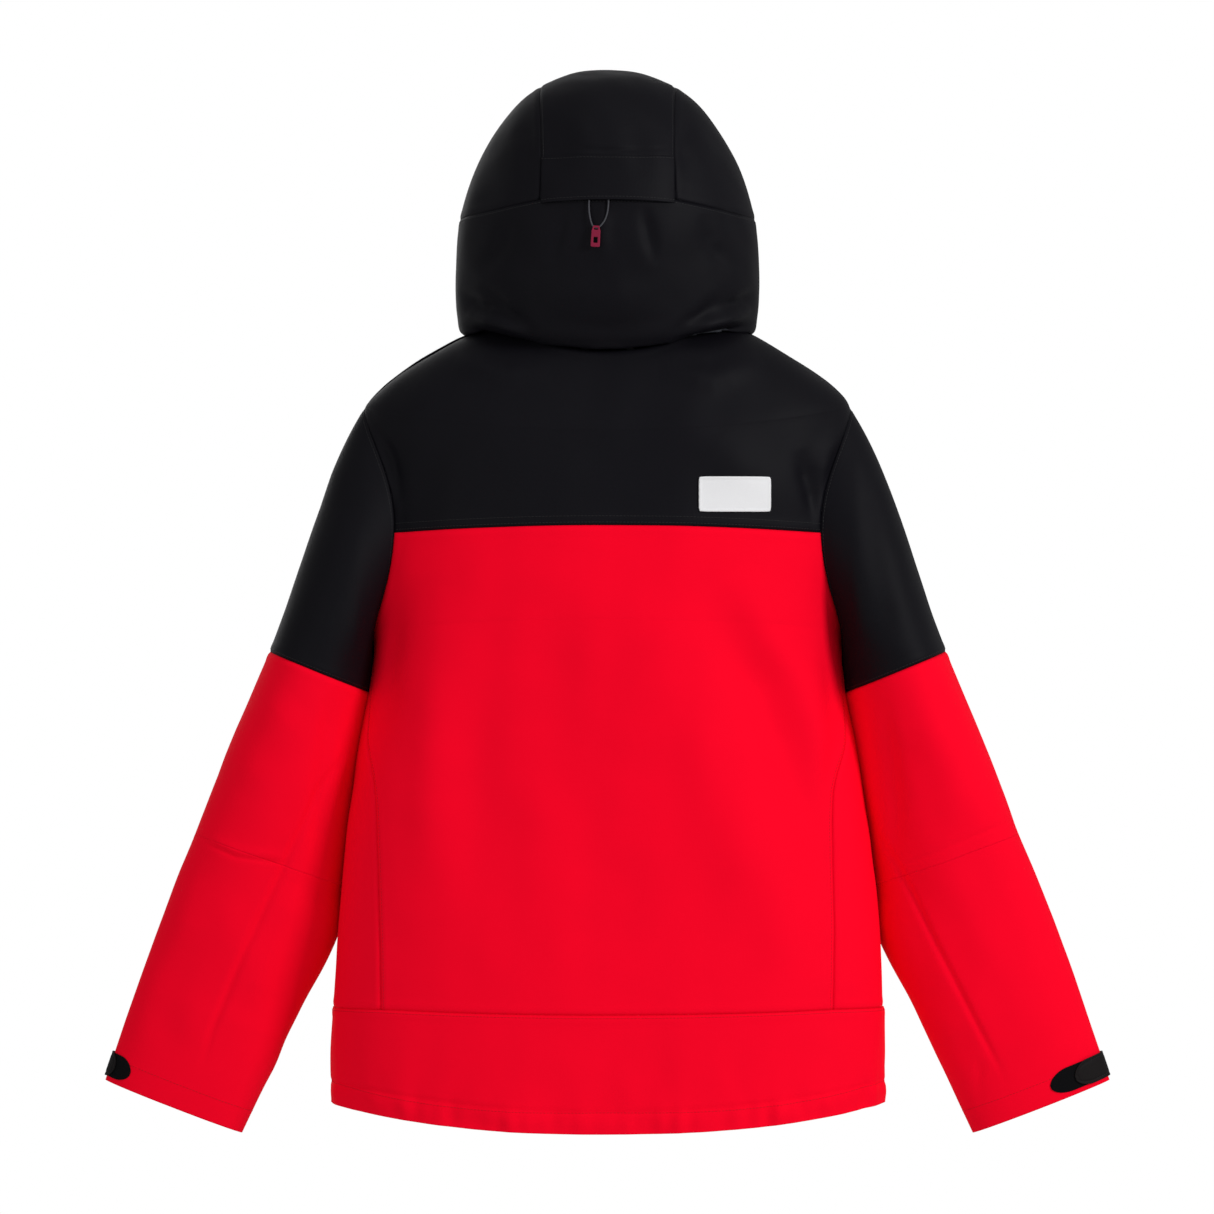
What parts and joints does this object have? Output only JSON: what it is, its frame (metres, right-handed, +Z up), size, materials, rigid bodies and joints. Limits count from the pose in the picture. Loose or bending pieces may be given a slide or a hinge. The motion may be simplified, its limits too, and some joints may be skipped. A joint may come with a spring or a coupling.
{
  "type": "hardshell jacket",
  "caption": "Hooded waterproof shell jacket with full front zip, zipped pockets, hook-and-loop cuff tabs, a hem drawcord and a rear hood adjuster.",
  "frame": {"origin": "the point of the hanger loop that bears on a hook, at the back of the neck", "axes": "+Z up the jacket, -Y out of its front, +X to the wearer's left"},
  "size_m": [0.9884, 0.2816, 1.039],
  "materials": {
    "black_shell": "matt woven shell, water-repellent",
    "red_shell": "matt woven shell, water-repellent",
    "lining": "smooth grey lining",
    "zip_tape": "satin polyurethane-coated tape",
    "zip_metal": "black painted zinc",
    "cuff_trim": "matt moulded tab and loop pile",
    "webbing": "woven tape",
    "cord": "braided elastic",
    "berry_plastic": "satin moulded",
    "black_plastic": "satin moulded",
    "badge": "embroidered patch"
  },
  "bodies": {
    "torso": {"back_yoke": "black_shell", "back_panel": "red_shell", "back_hem_panel": "red_shell", "front_yoke_left": "black_shell", "front_yoke_right": "black_shell", "front_panel_left": "red_shell", "front_panel_right": "red_shell", "side_panel_left": "red_shell", "side_panel_right": "red_shell", "collar": "black_shell", "hanger_loop": "webbing", "badge_patch": "badge", "zip_tape_left": "zip_tape", "zip_tape_right": "zip_tape", "storm_flap": "black_shell", "hand_pocket_left_zip_tape": "zip_tape", "hand_pocket_right_zip_tape": "zip_tape", "chest_pocket_zip_tape": "zip_tape", "hand_pocket_left_bag": "lining", "hand_pocket_right_bag": "lining", "chest_pocket_bag": "lining", "hem_drawcord": "cord", "hem_cord_lock_left": "black_plastic", "hem_cord_lock_right": "black_plastic"},
    "hood": {"hood_lower": "black_shell", "hood_brim": "black_shell", "hood_crown": "black_shell", "hood_side_left": "black_shell", "hood_side_right": "black_shell", "hood_adjuster_flap": "black_shell"},
    "hood_adjuster": {"hood_adjuster_cord": "cord", "hood_adjuster_tab": "berry_plastic"},
    "main_slider": {"main_zip_slider": "zip_metal"},
    "main_puller": {"main_zip_puller": "zip_metal"},
    "hand_slider_left": {"hand_pocket_left_zip_slider": "zip_metal"},
    "hand_puller_left": {"hand_pocket_left_zip_puller": "zip_metal"},
    "hand_slider_right": {"hand_pocket_right_zip_slider": "zip_metal"},
    "hand_puller_right": {"hand_pocket_right_zip_puller": "zip_metal"},
    "chest_slider": {"chest_pocket_zip_slider": "zip_metal"},
    "chest_puller": {"chest_pocket_zip_puller": "zip_metal"},
    "upper_arm_left": {"sleeve_upper_left": "black_shell", "sleeve_middle_left": "red_shell"},
    "forearm_left": {"sleeve_lower_left": "red_shell", "cuff_loop_patch_left": "cuff_trim"},
    "cuff_tab_left": {"cuff_tab_left": "cuff_trim"},
    "lock_button_left": {"hem_lock_button_left": "black_plastic"},
    "upper_arm_right": {"sleeve_upper_right": "black_shell", "sleeve_middle_right": "red_shell"},
    "forearm_right": {"sleeve_lower_right": "red_shell", "cuff_loop_patch_right": "cuff_trim"},
    "cuff_tab_right": {"cuff_tab_right": "cuff_trim"},
    "lock_button_right": {"hem_lock_button_right": "black_plastic"}
  },
  "joints": [
    {"name": "hood_fold", "type": "hinge", "parent": "torso", "child": "hood", "pos_m": [0, 0.013, -0.011], "axis": [-1, 0, 0], "range_deg": [0, 95]},
    {"name": "hood_adjuster_pull", "type": "slide", "parent": "hood", "child": "hood_adjuster", "axis": [0, 0, -1], "range_m": [0, 0.015]},
    {"name": "main_zip", "type": "slide", "parent": "torso", "child": "main_slider", "axis": [0, -0.092, -0.9958], "range_m": [0, 0.72]},
    {"name": "main_zip_puller", "type": "hinge", "parent": "main_slider", "child": "main_puller", "pos_m": [0, -0.16103, 0.012], "axis": [-1, 0, 0], "range_deg": [0, 150]},
    {"name": "hand_zip_left", "type": "slide", "parent": "torso", "child": "hand_slider_left", "axis": [0.1611, -0.0606, -0.9851], "range_m": [0, 0.15]},
    {"name": "hand_zip_puller_left", "type": "hinge", "parent": "hand_slider_left", "child": "hand_puller_left", "pos_m": [0.12102, -0.1866, -0.34582], "axis": [-0.9563, -0.2565, -0.1406], "range_deg": [0, 150]},
    {"name": "hand_zip_right", "type": "slide", "parent": "torso", "child": "hand_slider_right", "axis": [-0.1611, -0.0606, -0.9851], "range_m": [0, 0.15]},
    {"name": "hand_zip_puller_right", "type": "hinge", "parent": "hand_slider_right", "child": "hand_puller_right", "pos_m": [-0.12102, -0.1866, -0.34582], "axis": [-0.9563, 0.2565, 0.1406], "range_deg": [0, 150]},
    {"name": "chest_zip", "type": "slide", "parent": "torso", "child": "chest_slider", "axis": [0.0019, -0.0788, -0.9969], "range_m": [0, 0.095]},
    {"name": "chest_zip_puller", "type": "hinge", "parent": "chest_slider", "child": "chest_puller", "pos_m": [0.1008, -0.17875, -0.2036], "axis": [-0.9878, -0.1557, 0.0105], "range_deg": [0, 150]},
    {"name": "shoulder_left", "type": "hinge", "parent": "torso", "child": "upper_arm_left", "pos_m": [0.236, -0.068, -0.089], "axis": [0, -1, 0], "range_deg": [0, 60]},
    {"name": "elbow_left", "type": "hinge", "parent": "upper_arm_left", "child": "forearm_left", "pos_m": [0.335, -0.148, -0.51], "axis": [-0.9323, 0, -0.3616], "range_deg": [0, 75]},
    {"name": "shoulder_right", "type": "hinge", "parent": "torso", "child": "upper_arm_right", "pos_m": [-0.236, -0.068, -0.089], "axis": [0, 1, 0], "range_deg": [0, 60]},
    {"name": "elbow_right", "type": "hinge", "parent": "upper_arm_right", "child": "forearm_right", "pos_m": [-0.335, -0.148, -0.51], "axis": [-0.9323, 0, 0.3616], "range_deg": [0, 75]},
    {"name": "cuff_tab_left", "type": "hinge", "parent": "forearm_left", "child": "cuff_tab_left", "pos_m": [0.42402, -0.14274, -0.73375], "axis": [0.3764, 0.0069, -0.9264], "range_deg": [0, 70]},
    {"name": "hem_lock_button_left", "type": "slide", "parent": "torso", "child": "lock_button_left", "axis": [0, 0, -1], "range_m": [0, 0.0035], "stiffness_N_per_m": 400, "springref_m": -0.001},
    {"name": "cuff_tab_right", "type": "hinge", "parent": "forearm_right", "child": "cuff_tab_right", "pos_m": [-0.4606, -0.1367, -0.71955], "axis": [0.3472, 0.0144, 0.9377], "range_deg": [0, 70]},
    {"name": "hem_lock_button_right", "type": "slide", "parent": "torso", "child": "lock_button_right", "axis": [0, 0, -1], "range_m": [0, 0.0035], "stiffness_N_per_m": 400, "springref_m": -0.001}
  ]
}
